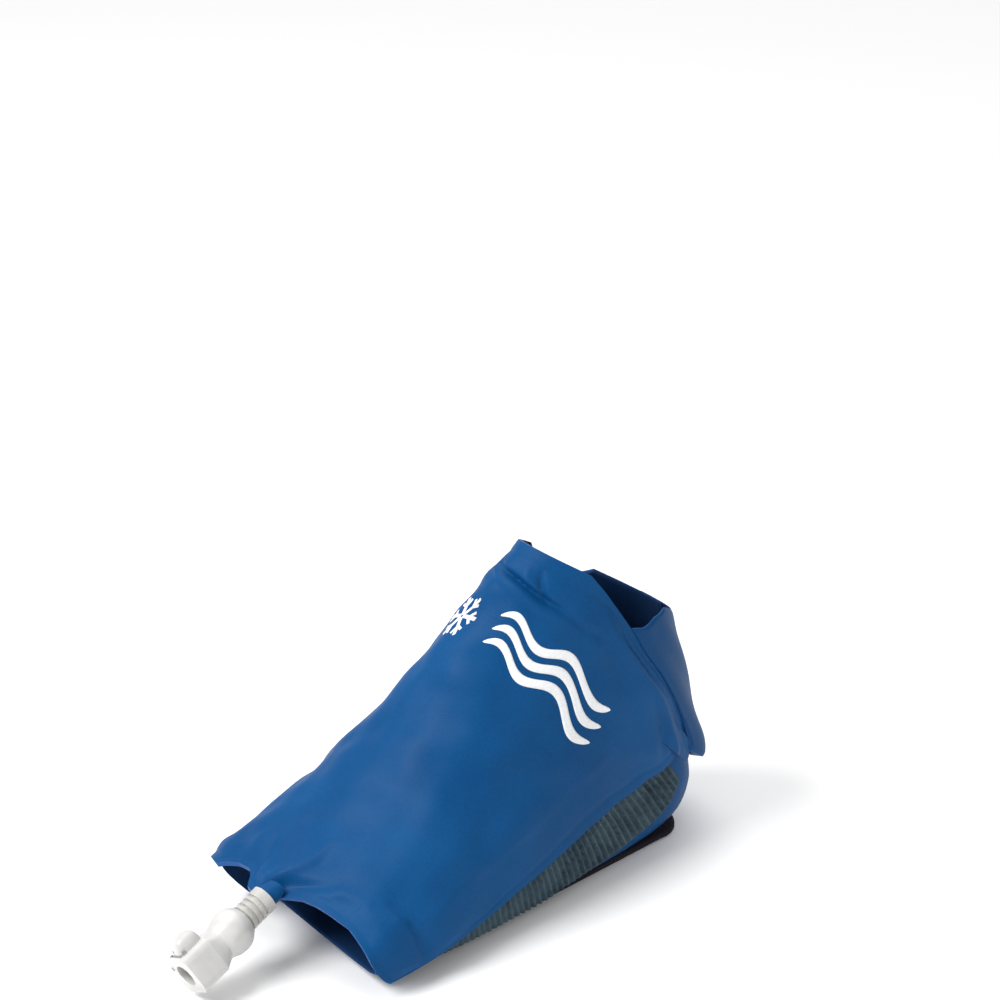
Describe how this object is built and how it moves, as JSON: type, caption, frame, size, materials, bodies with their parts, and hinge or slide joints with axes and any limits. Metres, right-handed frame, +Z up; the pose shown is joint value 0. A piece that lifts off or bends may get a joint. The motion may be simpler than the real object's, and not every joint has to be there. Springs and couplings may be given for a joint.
{
  "type": "cold compression wrap",
  "caption": "Left-foot cold compression wrap: water-filled bladder over the instep with hook-and-loop side flap, sole strap, heel wings and a quick-release hose coupling.",
  "frame": {"origin": "on the floor, in the flat underside of the sole strap, under the middle of the foot", "axes": "+Y from toes to heel, +X to the little-toe side, +Z up"},
  "size_m": [0.1052, 0.2541, 0.145],
  "materials": {
    "blue_nylon": "heat-sealed urethane-coated nylon, fine plain weave, satin sheen",
    "blue_lining": "inner face of the coated nylon, matt",
    "loop_pad": "ribbed dark loop pile",
    "hook_tape": "dark hook tape",
    "strap_webbing": "dark flat strap, fine weave",
    "clear_tube": "milky flexible tube",
    "collar_plastic": "translucent white ribbed collar",
    "white_plastic": "white moulded acetal, soft gloss",
    "latch_steel": "stainless plate",
    "pin_steel": "small pin",
    "spring_steel": "spring wire",
    "seal_rubber": "soft seal"
  },
  "bodies": {
    "wrap": {"bladder_outer_ply": "blue_nylon", "bladder_inner_ply": "blue_lining", "spout_sleeve": "blue_nylon", "inlet_tube": "clear_tube"},
    "side_flap": {"side_flap_outer_ply": "blue_nylon", "side_flap_inner_ply": "blue_lining", "side_flap_hook": "hook_tape"},
    "sole": {"sole_flap": "blue_lining", "side_loop_pad": "loop_pad", "sole_strap": "strap_webbing"},
    "tail": {"strap_tail": "strap_webbing"},
    "lateral_wing": {"lateral_heel_wing": "blue_nylon", "lateral_wing_hook": "hook_tape"},
    "medial_wing": {"medial_heel_wing": "blue_lining", "medial_wing_loop": "loop_pad"},
    "coupling": {"clamp_collar": "collar_plastic", "coupling_stem": "white_plastic", "union_nut": "white_plastic", "coupling_body": "white_plastic", "latch_pin": "pin_steel", "latch_spring": "spring_steel", "valve_seat": "white_plastic", "valve_spring": "spring_steel", "socket_seal": "seal_rubber"},
    "latch": {"latch_plate": "latch_steel", "thumb_button": "white_plastic"},
    "poppet": {"valve_poppet": "white_plastic", "poppet_seal": "seal_rubber"}
  },
  "joints": [
    {"name": "side_flap_open", "type": "hinge", "parent": "wrap", "child": "side_flap", "pos_m": [0.0323, -0.0962, 0.0259], "axis": [0.0049, 0.9185, 0.3954], "range_deg": [-100, 0]},
    {"name": "sole_drop", "type": "hinge", "parent": "wrap", "child": "sole", "pos_m": [-0.027, -0.08, 0.0045], "axis": [0.04, 0.9992, 0.0067], "range_deg": [0, 40]},
    {"name": "tail_peel", "type": "hinge", "parent": "sole", "child": "tail", "pos_m": [0.006, 0.0445, 0], "axis": [1, 0, 0], "range_deg": [-60, 0]},
    {"name": "lateral_wing_open", "type": "hinge", "parent": "wrap", "child": "lateral_wing", "pos_m": [0.036, 0.0486, 0.1056], "axis": [0.0804, -0.5534, 0.829], "range_deg": [-110, 0]},
    {"name": "medial_wing_open", "type": "hinge", "parent": "wrap", "child": "medial_wing", "pos_m": [-0.03, 0.0486, 0.1056], "axis": [-0.0804, -0.5534, 0.829], "range_deg": [0, 60]},
    {"name": "neck_flex", "type": "hinge", "parent": "wrap", "child": "coupling", "pos_m": [-0.0015, -0.1042, 0.0275], "axis": [0.9857, 0.1683, 0], "range_deg": [-25, 20]},
    {"name": "latch_press", "type": "slide", "parent": "coupling", "child": "latch", "axis": [0.4431, 0.3755, -0.814], "range_m": [0, 0.0022], "stiffness_N_per_m": 900, "springref_m": -0.001},
    {"name": "valve_open", "type": "slide", "parent": "coupling", "child": "poppet", "axis": [-0.1582, 0.9266, 0.3413], "range_m": [0, 0.003], "stiffness_N_per_m": 500, "springref_m": -0.001}
  ],
  "couplings": [
    {"joint": "sole_drop", "follows": "side_flap_open", "ratio": -0.34},
    {"joint": "medial_wing_open", "follows": "lateral_wing_open", "ratio": -0.5}
  ]
}
